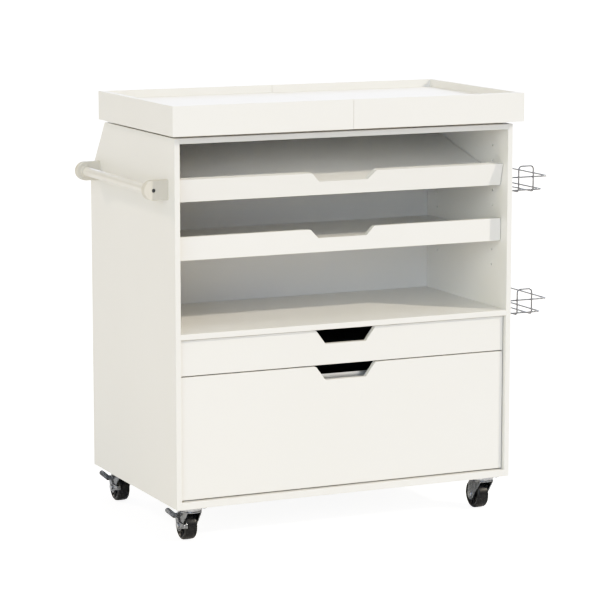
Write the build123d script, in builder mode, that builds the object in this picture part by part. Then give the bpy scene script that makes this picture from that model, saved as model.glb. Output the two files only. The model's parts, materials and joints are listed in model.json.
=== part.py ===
"""Rolling sewing and craft cart, in millimetres.

A white panel cabinet on four casters. Two tray tops slide apart over a shallow well, two loose shelves
stand on pegs (the upper one tilted), two drawers run on metal slides, the lower one for hanging files.
A push handle is on the left side, two wire baskets are on the right side, and two bays open to the back.

Frame: +X right, +Y to the back, +Z up; the origin is on the floor, below the middle of the outline.
"""

import math
import os

from build123d import *

os.makedirs("parts", exist_ok=True)

# ---- driving dimensions ---------------------------------------------------------------------------
cabinet_width = 805
side_depth = 504
underside_z = 80
side_height = 794
board = 12
thick_board = 15
edge_round = 0.8
screw_radius = 2
screw_head_radius = 4

tray_overhang_side = 13.5
tray_overhang_front = 25.5
tray_depth = 438
tray_height = 64
tray_gap = 6
tray_recess = 17
tray_seam = 1

slant_drop = 126
slant_top_y = 411.5
back_panel_y = 383
sub_top_depth = 395
fixed_shelf_z = 446.5
rear_rail_height = 60

peg_pitch = 33.5
peg_first_z = 552.5
peg_rows = 9
peg_front_y = 70
peg_rear_y = 333
peg_radius = 2.5
peg_hole_depth = 9
peg_seat_drop = 3.5
lower_shelf_row = 2
upper_shelf_front_row = 6
upper_shelf_rear_row = 8
shelf_side_gap = 2
shelf_front_y = 28
shelf_rear_y = 375
lip_height = 49.5
lip_drop = 4
lip_notch = (153, 116, 19.5)

front_recess = 10
front_gap = 3
file_front_z = 98.3
file_front_height = 266.2
top_front_z = 367.5
top_front_height = 76.5
drawer_side_space = 13
drawer_back_y = 375
drawer_bottom = 4
drawer_groove = 5

handle_z = 763
handle_stand_off = 33
handle_bar_radius = 10
bracket_height = 43
bracket_thickness = 18
bracket_front_y = 35
bracket_rear_y = 441
bracket_screw_spread = 13
bracket_screw_bite = 14
countersink_depth = 3
handle_reach = handle_stand_off + bracket_height / 2

basket_reach = 120
basket_front_y = 43
basket_length = 390
wire_radius = 2
upper_basket_z = 748
lower_basket_z = 470
basket_screw_inset = 70
basket_screw_drop = 8
basket_screw_bite = 10

wheel_radius = 32
wheel_width = 28
axle_radius = 4
caster_trail = 24
caster_inset_x = 47
caster_front_y = 38
caster_rear_y = 440
plate_hole_pitch = 46
plate_screw_bite = 12

# ---- positions worked out from them ---------------------------------------------------------------
left_face = (handle_reach - cabinet_width - basket_reach) / 2
right_face = left_face + cabinet_width
inner_left = left_face + board
inner_right = right_face - board
inner_width = cabinet_width - 2 * board
middle_x = (left_face + right_face) / 2
front_face = (tray_overhang_front - side_depth) / 2
rear_face = front_face + side_depth
side_top_z = underside_z + side_height
floor_board_z = underside_z + thick_board
sub_top_z = side_top_z - board
fixed_shelf_top = fixed_shelf_z + board
sub_top_rear = front_face + sub_top_depth
back_inner = front_face + back_panel_y
tray_z = side_top_z + tray_gap
tray_top = tray_z + tray_height


def peg_z(row):
    """Height of a row of peg holes."""
    return peg_first_z + peg_pitch * row


def finish(piece, name):
    """Label a finished piece and write it as its own STEP file."""
    piece.part.label = name
    export_step(piece.part, f"parts/{name}.step")


def notch_outline(top_width, bottom_width, depth, top_z):
    """Closed outline of a finger notch that opens upwards at top_z, with its top corners rounded over."""
    lean = (top_width - bottom_width) / 2
    rise = 20
    with BuildLine() as outline:
        FilletPolyline(
            (-top_width / 2 - rise, top_z + rise),
            (-top_width / 2 - rise, top_z),
            (-top_width / 2, top_z),
            (-top_width / 2 + lean, top_z - depth),
            radius=7,
        )
        Line((-top_width / 2 + lean, top_z - depth), (top_width / 2 - lean, top_z - depth))
        FilletPolyline(
            (top_width / 2 - lean, top_z - depth),
            (top_width / 2, top_z),
            (top_width / 2 + rise, top_z),
            (top_width / 2 + rise, top_z + rise),
            radius=7,
        )
        Line((top_width / 2 + rise, top_z + rise), (-top_width / 2 - rise, top_z + rise))
    return outline


# ---- cam fittings: where they sit, shared by the panels that are bored for them ---------------------
cam_radius = 7.5
cam_depth = 10.3
cam_from_side = 34
cam_bolt_radius = 3.5
cam_bolt_grip = 9
cam_bolt_gap = 0.5
cam_slot_length = 9
cam_slot_width = 1.6
cam_slot_depth = 2
cam_rows_y = [front_face + 105, front_face + 320]
cam_boards = [(underside_z, thick_board), (fixed_shelf_z, board), (sub_top_z, board)]


def cam_faces(base_z, thickness):
    """Height at which a board's cams are let in, and the direction of their pockets."""
    if base_z == fixed_shelf_z:
        return base_z, 1
    return base_z + thickness, -1


# ---- side panels: upright, with a slanted top rear corner --------------------------------------------
for panel_name, panel_x, inside_x, inward in (
    ("left_side_panel", left_face, inner_left, -1),
    ("right_side_panel", inner_right, inner_right, 1),
):
    with BuildPart() as side_panel:
        with BuildSketch(Plane.YZ.offset(panel_x)):
            with BuildLine():
                Polyline(
                    (front_face, underside_z),
                    (rear_face, underside_z),
                    (rear_face, side_top_z - slant_drop),
                    (front_face + slant_top_y, side_top_z),
                    (front_face, side_top_z),
                    close=True,
                )
            make_face()
        extrude(amount=board)
        # Two columns of blind peg holes.
        with BuildSketch(Plane.YZ.offset(inside_x)):
            for row in range(peg_rows):
                with Locations((front_face + peg_front_y, peg_z(row)), (front_face + peg_rear_y, peg_z(row))):
                    Circle(peg_radius)
        extrude(amount=inward * peg_hole_depth, mode=Mode.SUBTRACT)
        # Sockets for the bolts of the cam fittings.
        with BuildSketch(Plane.YZ.offset(inside_x)):
            for base_z, thickness in cam_boards:
                with Locations(*[(y, base_z + thickness / 2) for y in cam_rows_y]):
                    Circle(cam_bolt_radius)
        extrude(amount=inward * cam_bolt_grip, mode=Mode.SUBTRACT)
        if panel_name == "left_side_panel":
            # Countersunk holes for the handle's fixing screws.
            for bracket_y in (bracket_front_y, bracket_rear_y):
                middle_y = front_face + bracket_y + bracket_thickness / 2
                for radius, depth in ((screw_head_radius, countersink_depth), (screw_radius, board)):
                    with BuildSketch(Plane.YZ.offset(inner_left)):
                        with Locations((middle_y, handle_z)):
                            with GridLocations(0, 2 * bracket_screw_spread, 1, 2):
                                Circle(radius)
                    extrude(amount=-depth, mode=Mode.SUBTRACT)
        else:
            # Pilot holes for the basket screws.
            with BuildSketch(Plane.YZ.offset(right_face)):
                for basket_z in (upper_basket_z, lower_basket_z):
                    for hole_y in (basket_screw_inset, basket_length - basket_screw_inset):
                        with Locations((front_face + basket_front_y + hole_y, basket_z - basket_screw_drop)):
                            Circle(screw_radius)
            extrude(amount=-basket_screw_bite, mode=Mode.SUBTRACT)
    finish(side_panel, panel_name)

# ---- fixed boards between the sides -------------------------------------------------------------------
fixed_boards = {
    "bottom_panel": (underside_z, thick_board, side_depth),
    "fixed_shelf": (fixed_shelf_z, board, back_panel_y),
    "sub_top_panel": (sub_top_z, board, sub_top_depth),
}
for board_name, (base_z, thickness, depth) in fixed_boards.items():
    with BuildPart() as fixed_board:
        with BuildSketch(Plane.XY.offset(base_z)):
            with Locations((middle_x, front_face)):
                Rectangle(inner_width, depth, align=(Align.CENTER, Align.MIN))
        extrude(amount=thickness)
        # Pockets for the cams and bores for their bolts.
        cam_face, cam_way = cam_faces(base_z, thickness)
        with BuildSketch(Plane.XY.offset(cam_face)):
            for y in cam_rows_y:
                with Locations((inner_left + cam_from_side, y), (inner_right - cam_from_side, y)):
                    Circle(cam_radius)
        extrude(amount=cam_way * cam_depth, mode=Mode.SUBTRACT)
        for edge_x, way in ((inner_left, 1), (inner_right, -1)):
            with BuildSketch(Plane.YZ.offset(edge_x)):
                with Locations(*[(y, base_z + thickness / 2) for y in cam_rows_y]):
                    Circle(cam_bolt_radius)
            extrude(amount=way * cam_from_side, mode=Mode.SUBTRACT)
        if board_name == "bottom_panel":
            # Pilot holes for the caster plate screws.
            with BuildSketch(Plane.XY.offset(underside_z)):
                for axis_x in (left_face + caster_inset_x, right_face - caster_inset_x):
                    for axis_y in (caster_front_y, caster_rear_y):
                        with Locations((axis_x, front_face + axis_y)):
                            with GridLocations(plate_hole_pitch, plate_hole_pitch, 2, 2):
                                Circle(screw_radius)
            extrude(amount=plate_screw_bite, mode=Mode.SUBTRACT)
    finish(fixed_board, board_name)

with BuildPart() as back_panel:
    with BuildSketch(Plane.XZ.offset(-back_inner)):
        with Locations((middle_x, floor_board_z)):
            Rectangle(inner_width, sub_top_z - floor_board_z, align=(Align.CENTER, Align.MIN))
    extrude(amount=-board)
finish(back_panel, "back_panel")

# ---- rear bays: a shelf behind the back panel and two low retaining rails ------------------------------
with BuildPart() as rear_shelf:
    with BuildSketch(Plane.XY.offset(fixed_shelf_z)):
        with Locations((middle_x, back_inner + board)):
            Rectangle(inner_width, rear_face - back_inner - board, align=(Align.CENTER, Align.MIN))
    extrude(amount=board)
finish(rear_shelf, "rear_shelf")

with BuildPart() as rear_rails:
    with BuildSketch(Plane.XZ.offset(-rear_face)):
        for rail_z in (floor_board_z, fixed_shelf_top):
            with Locations((middle_x, rail_z)):
                Rectangle(inner_width, rear_rail_height, align=(Align.CENTER, Align.MIN))
    extrude(amount=board)
finish(rear_rails, "rear_rails")

# ---- cam fittings: a disc in the board and a bolt that runs from it into the side panel ------------------
with BuildPart() as cam_fittings:
    for base_z, thickness in cam_boards:
        cam_face, cam_way = cam_faces(base_z, thickness)
        with BuildSketch(Plane.XY.offset(cam_face)):
            for y in cam_rows_y:
                with Locations((inner_left + cam_from_side, y), (inner_right - cam_from_side, y)):
                    Circle(cam_radius)
        extrude(amount=cam_way * cam_depth)
        # A cross recess in each cam.
        with BuildSketch(Plane.XY.offset(cam_face)):
            for y in cam_rows_y:
                with Locations((inner_left + cam_from_side, y), (inner_right - cam_from_side, y)):
                    Rectangle(cam_slot_length, cam_slot_width)
                    Rectangle(cam_slot_width, cam_slot_length)
        extrude(amount=cam_way * cam_slot_depth, mode=Mode.SUBTRACT)
        for edge_x, way in ((inner_left, 1), (inner_right, -1)):
            with BuildSketch(Plane.YZ.offset(edge_x - way * cam_bolt_grip)):
                with Locations(*[(y, base_z + thickness / 2) for y in cam_rows_y]):
                    Circle(cam_bolt_radius)
            extrude(amount=way * (cam_bolt_grip + cam_from_side - cam_radius - cam_bolt_gap))
finish(cam_fittings, "cam_fittings")

# ---- loose shelves: a board with a raised lip, on four pegs each -----------------------------------------
# Each shelf is drawn in the plane of its own board, whose origin is on the underside above the front peg.
tilt = math.degrees(
    math.atan2(peg_z(upper_shelf_rear_row) - peg_z(upper_shelf_front_row), peg_rear_y - peg_front_y)
)
shelf_width = inner_width - 2 * shelf_side_gap
shelf_planes = {
    "lower": (lower_shelf_row, 0),
    "upper": (upper_shelf_front_row, tilt),
}
for shelf_name, (front_row, angle) in shelf_planes.items():
    peg = Plane(origin=(middle_x, front_face + peg_front_y, peg_z(front_row))).rotated((angle, 0, 0))
    underside = peg.offset(-peg_seat_drop)
    lip_face = Plane(
        origin=underside.origin + underside.y_dir * (shelf_front_y - peg_front_y),
        x_dir=underside.x_dir,
        z_dir=-underside.y_dir,
    )
    with BuildPart() as shelf_board:
        with BuildSketch(underside):
            with Locations((0, shelf_front_y + board - peg_front_y)):
                Rectangle(shelf_width, shelf_rear_y - shelf_front_y - board, align=(Align.CENTER, Align.MIN))
        extrude(amount=board)
    finish(shelf_board, f"{shelf_name}_shelf_board")
    with BuildPart() as shelf_lip:
        with BuildSketch(lip_face):
            with Locations((0, -lip_drop)):
                Rectangle(shelf_width, lip_height, align=(Align.CENTER, Align.MIN))
            notch = notch_outline(*lip_notch, lip_height - lip_drop)
            add(make_face(notch.edges(), mode=Mode.PRIVATE), mode=Mode.SUBTRACT)
        extrude(amount=-board)
    finish(shelf_lip, f"{shelf_name}_shelf_lip")

peg_leg_width = 12
peg_leg_height = 10
peg_leg_thickness = 1.5
peg_seat_thickness = 2
peg_seat_reach = 11
with BuildPart() as shelf_pegs:
    for front_row, rear_row, angle in (
        (lower_shelf_row, lower_shelf_row, 0),
        (upper_shelf_front_row, upper_shelf_rear_row, tilt),
    ):
        for peg_y, row in ((peg_front_y, front_row), (peg_rear_y, rear_row)):
            for wall_x, way in ((inner_left, 1), (inner_right, -1)):
                face = Plane(
                    origin=(wall_x, front_face + peg_y, peg_z(row)),
                    x_dir=(0, math.cos(math.radians(angle)), math.sin(math.radians(angle))),
                    z_dir=(1, 0, 0),
                )
                # Round shank in the hole.
                with BuildSketch(face.offset(-peg_hole_depth * way)):
                    Circle(peg_radius)
                extrude(amount=peg_hole_depth * way)
                # Upright leg against the panel and the seat that the board rests on.
                with BuildSketch(face):
                    with Locations((0, -peg_seat_drop - peg_seat_thickness)):
                        Rectangle(peg_leg_width, peg_leg_height, align=(Align.CENTER, Align.MIN))
                extrude(amount=peg_leg_thickness * way)
                with BuildSketch(face):
                    with Locations((0, -peg_seat_drop)):
                        Rectangle(peg_leg_width, peg_seat_thickness, align=(Align.CENTER, Align.MAX))
                extrude(amount=peg_seat_reach * way)
finish(shelf_pegs, "shelf_pegs")

# ---- push handle on the left side -----------------------------------------------------------------------
handle_x = left_face - handle_stand_off
bar_seat = 6
bar_start = front_face + bracket_front_y + bracket_thickness - bar_seat
bar_end = front_face + bracket_rear_y + bar_seat
bar_screw_radius = 2.5
bar_screw_length = 30
cap_radius = 4.2
cap_height = 4
cap_sink = 1
cap_socket = 2.3
cross_length = 5
cross_width = 1
cross_depth = 2

with BuildPart() as handle_bar:
    with BuildSketch(Plane.XZ.offset(-bar_start)):
        with Locations((handle_x, handle_z)):
            Circle(handle_bar_radius)
            Circle(bar_screw_radius, mode=Mode.SUBTRACT)
    extrude(amount=bar_start - bar_end)
finish(handle_bar, "handle_bar")

# Near face of each bracket, its outer face, the end of the bar in it, and the way inwards.
brackets = [
    (
        front_face + bracket_front_y,
        front_face + bracket_front_y,
        bar_start,
        1,
    ),
    (
        front_face + bracket_rear_y,
        front_face + bracket_rear_y + bracket_thickness,
        front_face + bracket_rear_y,
        -1,
    ),
]
with BuildPart() as handle_brackets:
    for near_y, outer_y, seat_y, inward in brackets:
        with BuildSketch(Plane.XZ.offset(-near_y)):
            with Locations((handle_x, handle_z)):
                Circle(bracket_height / 2)
            with Locations((left_face, handle_z)):
                Rectangle(handle_stand_off, bracket_height, align=(Align.MAX, Align.CENTER))
        extrude(amount=-bracket_thickness)
    fillet(handle_brackets.edges().filter_by(GeomType.CIRCLE), radius=1.5)
    for near_y, outer_y, seat_y, inward in brackets:
        # Socket for the bar, bore for the screw and a counterbore for its head.
        with BuildSketch(Plane.XZ.offset(-seat_y)):
            with Locations((handle_x, handle_z)):
                Circle(handle_bar_radius)
        extrude(amount=-bar_seat, mode=Mode.SUBTRACT)
        with BuildSketch(Plane.XZ.offset(-near_y)):
            with Locations((handle_x, handle_z)):
                Circle(bar_screw_radius)
        extrude(amount=-bracket_thickness, mode=Mode.SUBTRACT)
        with BuildSketch(Plane.XZ.offset(-outer_y)):
            with Locations((handle_x, handle_z)):
                Circle(cap_radius + 0.2)
        extrude(amount=-(cap_sink + cap_height) * inward, mode=Mode.SUBTRACT)
        # Pilot holes for the fixing screws.
        with BuildSketch(Plane.YZ.offset(left_face)):
            with Locations((near_y + bracket_thickness / 2, handle_z)):
                with GridLocations(0, 2 * bracket_screw_spread, 1, 2):
                    Circle(screw_radius)
        extrude(amount=-bracket_screw_bite, mode=Mode.SUBTRACT)
finish(handle_brackets, "handle_brackets")

with BuildPart() as handle_screws:
    for near_y, outer_y, seat_y, inward in brackets:
        # Cap screw along the bar, with a hexagon socket.
        with BuildSketch(Plane.XZ.offset(-(outer_y + cap_sink * inward))):
            with Locations((handle_x, handle_z)):
                Circle(cap_radius)
                RegularPolygon(cap_socket, 6, mode=Mode.SUBTRACT)
        extrude(amount=-cap_height * inward)
        with BuildSketch(Plane.XZ.offset(-(outer_y + cap_height * inward))):
            with Locations((handle_x, handle_z)):
                Circle(bar_screw_radius)
        extrude(amount=-bar_screw_length * inward)
        for screw_z in (handle_z - bracket_screw_spread, handle_z + bracket_screw_spread):
            # Countersunk screw from inside the cabinet, with a cross recess.
            screw_place = (near_y + bracket_thickness / 2, screw_z)
            with BuildSketch(Plane.YZ.offset(inner_left)):
                with Locations(screw_place):
                    Circle(screw_head_radius)
            extrude(amount=-countersink_depth)
            with BuildSketch(Plane.YZ.offset(inner_left)):
                with Locations(screw_place):
                    Rectangle(cross_length, cross_width)
                    Rectangle(cross_width, cross_length)
            extrude(amount=-cross_depth, mode=Mode.SUBTRACT)
            with BuildSketch(Plane.YZ.offset(inner_left - countersink_depth)):
                with Locations(screw_place):
                    Circle(screw_radius)
            extrude(amount=-(board - countersink_depth + bracket_screw_bite))
finish(handle_screws, "handle_screws")

# ---- wire baskets on the right side ------------------------------------------------------------------------
ring_drop = 29
guard_rise = 25
guard_near = 41
guard_far = 78
floor_reach = 104
weld_sink = 0.4
wire_bend = 8
upright_inset = 50
washer_radius = 7
washer_thickness = 1.2
head_height = 2.4
wall_x = right_face + wire_radius
basket_start = front_face + basket_front_y
basket_end = basket_start + basket_length
ring_start = basket_start + 3 * wire_radius - weld_sink
ring_end = basket_end - 3 * wire_radius + weld_sink

for basket_name, rim_z in (("upper_wire_basket", upper_basket_z), ("lower_wire_basket", lower_basket_z)):
    rim_x = right_face + basket_reach - wire_radius
    floor_x = right_face + floor_reach - wire_radius
    floor_z = rim_z - ring_drop
    under_z = floor_z - 2 * wire_radius + weld_sink
    guard_z = rim_z + guard_rise
    near_x = right_face + guard_near
    far_x = right_face + guard_far
    guard_start = basket_start + wire_radius
    guard_end = basket_end - wire_radius
    loops = (
        # Rim ring.
        [
            (wall_x, ring_start, rim_z),
            (rim_x, ring_start, rim_z),
            (rim_x, ring_end, rim_z),
            (wall_x, ring_end, rim_z),
        ],
        # Floor ring.
        [
            (wall_x, ring_start, floor_z),
            (floor_x, ring_start, floor_z),
            (floor_x, ring_end, floor_z),
            (wall_x, ring_end, floor_z),
        ],
        # Two long wires under the floor that rise into a guard at each end.
        [
            (near_x, guard_start, guard_z),
            (far_x, guard_start, guard_z),
            (far_x, guard_start, under_z),
            (far_x, guard_end, under_z),
            (far_x, guard_end, guard_z),
            (near_x, guard_end, guard_z),
            (near_x, guard_end, under_z),
            (near_x, guard_start, under_z),
        ],
    )
    with BuildPart() as basket:
        for corners in loops:
            with BuildLine() as path:
                FilletPolyline(*corners, radius=wire_bend, close=True)
            with BuildSketch(Plane(origin=path.line @ 0, z_dir=path.line % 0)):
                Circle(wire_radius)
            sweep(path=path.line)
        # Two uprights tie the rings together beside the wall.
        with BuildSketch(Plane.XY.offset(floor_z - wire_radius)):
            for upright_y in (basket_start + upright_inset, basket_end - upright_inset):
                with Locations((wall_x + 2 * wire_radius - weld_sink, upright_y)):
                    Circle(wire_radius)
        extrude(amount=ring_drop + 2 * wire_radius)
    finish(basket, basket_name)

with BuildPart() as basket_screws:
    washer_x = right_face + 2 * wire_radius
    head_x = washer_x + washer_thickness
    for rim_z in (upper_basket_z, lower_basket_z):
        for screw_y in (basket_start + basket_screw_inset, basket_end - basket_screw_inset):
            screw_place = (screw_y, rim_z - basket_screw_drop)
            # Shank, washer over the rim wire, and pan head with a cross recess.
            for start_x, length, radius in (
                (right_face - basket_screw_bite, basket_screw_bite + 2 * wire_radius, screw_radius),
                (washer_x, washer_thickness, washer_radius),
                (head_x, head_height, screw_head_radius),
            ):
                with BuildSketch(Plane.YZ.offset(start_x)):
                    with Locations(screw_place):
                        Circle(radius)
                extrude(amount=length)
            with BuildSketch(Plane.YZ.offset(head_x + head_height)):
                with Locations(screw_place):
                    Rectangle(cross_length, cross_width)
                    Rectangle(cross_width, cross_length)
            extrude(amount=-head_height / 2, mode=Mode.SUBTRACT)
finish(basket_screws, "basket_screws")

# ---- drawer slides: a channel on the cabinet side and a narrower one on the drawer ----------------------
slide_wall = 1.2
channel_height = 36
channel_depth = 9
runner_height = channel_height - 2 * slide_wall - 1
runner_depth = 9
slide_length = 345
slide_front_y = front_face + front_recess + board + 3
drawer_left = inner_left + drawer_side_space
drawer_right = inner_right - drawer_side_space
drawer_width = drawer_right - drawer_left
front_back_y = front_face + front_recess + board
drawer_rear = front_face + drawer_back_y
bottom_width = drawer_width - 2 * board + 2 * drawer_groove
bottom_front = front_back_y - drawer_groove
bottom_depth = drawer_rear - board + drawer_groove - bottom_front
hanging_folder_span = 312
hanger_thickness = 3
hanger_height = 12
hanger_middle_y = (front_back_y + drawer_rear - board) / 2

# Front base and height, box base and height, and middle of the slides.
file_box_z = 112
file_box_height = 230
drawers = {
    "top_drawer": (top_front_z, top_front_height, 378, 56, 406),
    "file_drawer": (file_front_z, file_front_height, file_box_z, file_box_height, 200),
}
bottom_lift = 8
front_notch = (144, 98, 31)


def channel_outline(back_x, height, depth, way):
    """Section of a C channel with its web on back_x and its flanges pointing along way."""
    align = (Align.MIN, Align.CENTER) if way > 0 else (Align.MAX, Align.CENTER)
    with Locations((back_x, 0)):
        Rectangle(depth, height, align=align)
    with Locations((back_x + way * slide_wall, 0)):
        Rectangle(depth, height - 2 * slide_wall, align=align, mode=Mode.SUBTRACT)


with BuildPart() as runner_channels:
    for front_z, front_height, box_z, box_height, slide_z in drawers.values():
        for panel_x, way in ((inner_left, 1), (inner_right, -1)):
            with BuildSketch(Plane(origin=(0, slide_front_y, slide_z), x_dir=(1, 0, 0), z_dir=(0, -1, 0))):
                channel_outline(panel_x, channel_height, channel_depth, way)
            extrude(amount=-slide_length)
finish(runner_channels, "drawer_runner_channels")

for drawer_name, (front_z, front_height, box_z, box_height, slide_z) in drawers.items():
    with BuildSketch(Plane.XY.offset(box_z + bottom_lift)) as bottom_outline:
        with Locations((middle_x, bottom_front)):
            Rectangle(bottom_width, bottom_depth, align=(Align.CENTER, Align.MIN))

    with BuildPart() as drawer_front:
        with BuildSketch(Plane.XZ.offset(-(front_face + front_recess))):
            with Locations((middle_x, front_z)):
                Rectangle(inner_width - 2 * front_gap, front_height, align=(Align.CENTER, Align.MIN))
            with Locations((middle_x, 0)):
                notch = notch_outline(*front_notch, front_z + front_height)
                add(make_face(notch.edges(), mode=Mode.PRIVATE), mode=Mode.SUBTRACT)
        extrude(amount=-board)
        fillet(drawer_front.faces().sort_by(Axis.Y)[0].edges(), radius=edge_round)
        extrude(bottom_outline.sketch, amount=drawer_bottom, mode=Mode.SUBTRACT)
    finish(drawer_front, f"{drawer_name}_front")

    with BuildPart() as drawer_sides:
        with BuildSketch(Plane.XY.offset(box_z)):
            for side_x in (drawer_left, drawer_right - board):
                with Locations((side_x, front_back_y)):
                    Rectangle(board, drawer_rear - front_back_y, align=(Align.MIN, Align.MIN))
        extrude(amount=box_height)
        # Groove that holds the bottom.
        extrude(bottom_outline.sketch, amount=drawer_bottom, mode=Mode.SUBTRACT)
        if drawer_name == "file_drawer":
            # Slots in the top edge for the hanging rails.
            with BuildSketch(Plane.XY.offset(box_z + box_height)):
                with Locations((middle_x, hanger_middle_y)):
                    with GridLocations(0, hanging_folder_span, 1, 2):
                        Rectangle(drawer_width, hanger_thickness)
            extrude(amount=-hanger_height, mode=Mode.SUBTRACT)
    finish(drawer_sides, f"{drawer_name}_sides")

    with BuildPart() as drawer_back:
        with BuildSketch(Plane.XY.offset(box_z)):
            with Locations((middle_x, drawer_rear - board)):
                Rectangle(drawer_width - 2 * board, board, align=(Align.CENTER, Align.MIN))
        extrude(amount=box_height)
        extrude(bottom_outline.sketch, amount=drawer_bottom, mode=Mode.SUBTRACT)
    finish(drawer_back, f"{drawer_name}_back")

    with BuildPart() as drawer_base:
        extrude(bottom_outline.sketch, amount=drawer_bottom)
    finish(drawer_base, f"{drawer_name}_bottom")

    with BuildPart() as drawer_runners:
        for side_x, way in ((drawer_left, -1), (drawer_right, 1)):
            with BuildSketch(Plane(origin=(0, slide_front_y, slide_z), x_dir=(1, 0, 0), z_dir=(0, -1, 0))):
                channel_outline(side_x, runner_height, runner_depth, way)
            extrude(amount=-slide_length)
    finish(drawer_runners, f"{drawer_name}_runners")

with BuildPart() as hanger_rails:
    with BuildSketch(Plane.XY.offset(file_box_z + file_box_height)):
        with Locations((middle_x, hanger_middle_y)):
            with GridLocations(0, hanging_folder_span, 1, 2):
                Rectangle(drawer_width, hanger_thickness)
    extrude(amount=-hanger_height)
finish(hanger_rails, "file_drawer_hanger_rails")

# ---- sliding tray tops ----------------------------------------------------------------------------------
track_rows_y = (front_face + 55, front_face + 335)
track_end_gap = 20
cleat_width = 24
cleat_height = 16
track_width = 20
track_height = 14
track_wall = 1.5
track_slot = 9
track_length = inner_width - 2 * track_end_gap
track_z = side_top_z + cleat_height
tray_board_z = tray_top - tray_recess - board
tray_front = front_face - tray_overhang_front
tray_rear = tray_front + tray_depth
runner_thickness = 3
runner_clearance = 0.5
runner_end_gap = 5
runner_short = 55

with BuildPart() as top_cleats:
    with BuildSketch(Plane.XY.offset(side_top_z)):
        with Locations(*[(middle_x, y) for y in track_rows_y]):
            Rectangle(track_length, cleat_width)
    extrude(amount=cleat_height)
finish(top_cleats, "top_cleats")

with BuildPart() as top_tracks:
    with BuildSketch(Plane.YZ.offset(middle_x - track_length / 2)):
        for y in track_rows_y:
            with Locations((y, track_z)):
                Rectangle(track_width, track_height, align=(Align.CENTER, Align.MIN))
            with Locations((y, track_z + track_wall)):
                Rectangle(
                    track_width - 2 * track_wall,
                    track_height - 2 * track_wall,
                    align=(Align.CENTER, Align.MIN),
                    mode=Mode.SUBTRACT,
                )
                Rectangle(track_slot, track_height, align=(Align.CENTER, Align.MIN), mode=Mode.SUBTRACT)
    extrude(amount=track_length)
finish(top_tracks, "top_tracks")

for half, way in (("left", -1), ("right", 1)):
    half_length = cabinet_width / 2 + tray_overhang_side - tray_seam / 2
    seam_x = middle_x + way * tray_seam / 2
    outer_x = seam_x + way * half_length
    to_outside = Align.MIN if way > 0 else Align.MAX

    with BuildPart() as top_board:
        with BuildSketch(Plane.XY.offset(tray_board_z)):
            with Locations((seam_x, tray_front + board)):
                Rectangle(half_length - board, tray_depth - 2 * board, align=(to_outside, Align.MIN))
        extrude(amount=board)
    finish(top_board, f"{half}_top_board")

    for rim_name, rim_y in (("front", tray_front), ("rear", tray_rear - board)):
        with BuildPart() as top_rim:
            with BuildSketch(Plane.XY.offset(tray_z)):
                with Locations((seam_x, rim_y)):
                    Rectangle(half_length, board, align=(to_outside, Align.MIN))
            extrude(amount=tray_height)
            fillet(top_rim.edges().filter_by(Axis.X), radius=edge_round)
        finish(top_rim, f"{half}_top_{rim_name}_rim")

    with BuildPart() as end_rim:
        with BuildSketch(Plane.XY.offset(tray_z)):
            with Locations((outer_x - way * board, tray_front + board)):
                Rectangle(board, tray_depth - 2 * board, align=(to_outside, Align.MIN))
        extrude(amount=tray_height)
        fillet(end_rim.edges().filter_by(Axis.Y), radius=edge_round)
    finish(end_rim, f"{half}_top_end_rim")

    # Runners: a foot held in the track, a stem through its slot and a flange under the board.
    foot_z = track_z + track_wall + runner_clearance
    foot_width = track_width - 2 * (track_wall + runner_clearance)
    stem_width = track_slot - runner_thickness
    with BuildPart() as top_runners:
        with BuildSketch(Plane.YZ.offset(middle_x + way * runner_end_gap)):
            for y in track_rows_y:
                with Locations((y, foot_z)):
                    Rectangle(foot_width, runner_thickness, align=(Align.CENTER, Align.MIN))
                    Rectangle(stem_width, tray_board_z - foot_z, align=(Align.CENTER, Align.MIN))
                with Locations((y, tray_board_z)):
                    Rectangle(track_width, runner_thickness, align=(Align.CENTER, Align.MAX))
        extrude(amount=way * (half_length - runner_short))
    finish(top_runners, f"{half}_top_runners")

# ---- casters: plate with race and kingpin, fork, axle, wheel and, on the left pair, a brake lever ---------
plate_size = 60
plate_corner = 7
plate_thickness = 2.5
plate_head_height = 2.2
race_radius = 25.5
race_z = 70
race_round = 3
kingpin_radius = 4.5
kingpin_end_z = 62.5
kingpin_head_radius = 7
kingpin_head_height = 3
running_clearance = 0.05
fork_top_z = 69.7
fork_crown = 3.2
fork_crown_radius = 24
fork_front = -20
fork_rear = 31
leg_inner = wheel_width / 2 + 1.25
leg_thickness = 2.5
leg_outer = leg_inner + leg_thickness
leg_foot_radius = 13
axle_z = wheel_radius
axle_head_radius = 6.5
axle_head_height = 2.4
lever_thickness = 2.2
lever_gap = 0.5
lever_x = leg_outer + lever_gap
lever_boss_radius = 10
shoe_angles = (165, 180)
shoe_clearance = 1.2
shoe_width = 9
pedal_lean = 10
pedal_radius = 6
pedal_root = (lever_thickness - pedal_radius, 20)
pedal_tip = (-19, 33)
pedal_rib_pitch = 3.6
pedal_rib_height = 0.8
casters = {
    "front_left": (left_face + caster_inset_x, front_face + caster_front_y, True),
    "front_right": (right_face - caster_inset_x, front_face + caster_front_y, False),
    "rear_left": (left_face + caster_inset_x, front_face + caster_rear_y, True),
    "rear_right": (right_face - caster_inset_x, front_face + caster_rear_y, False),
}
swivel_points = [(x, y) for x, y, braked in casters.values()]
plate_underside = underside_z - plate_thickness

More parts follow.
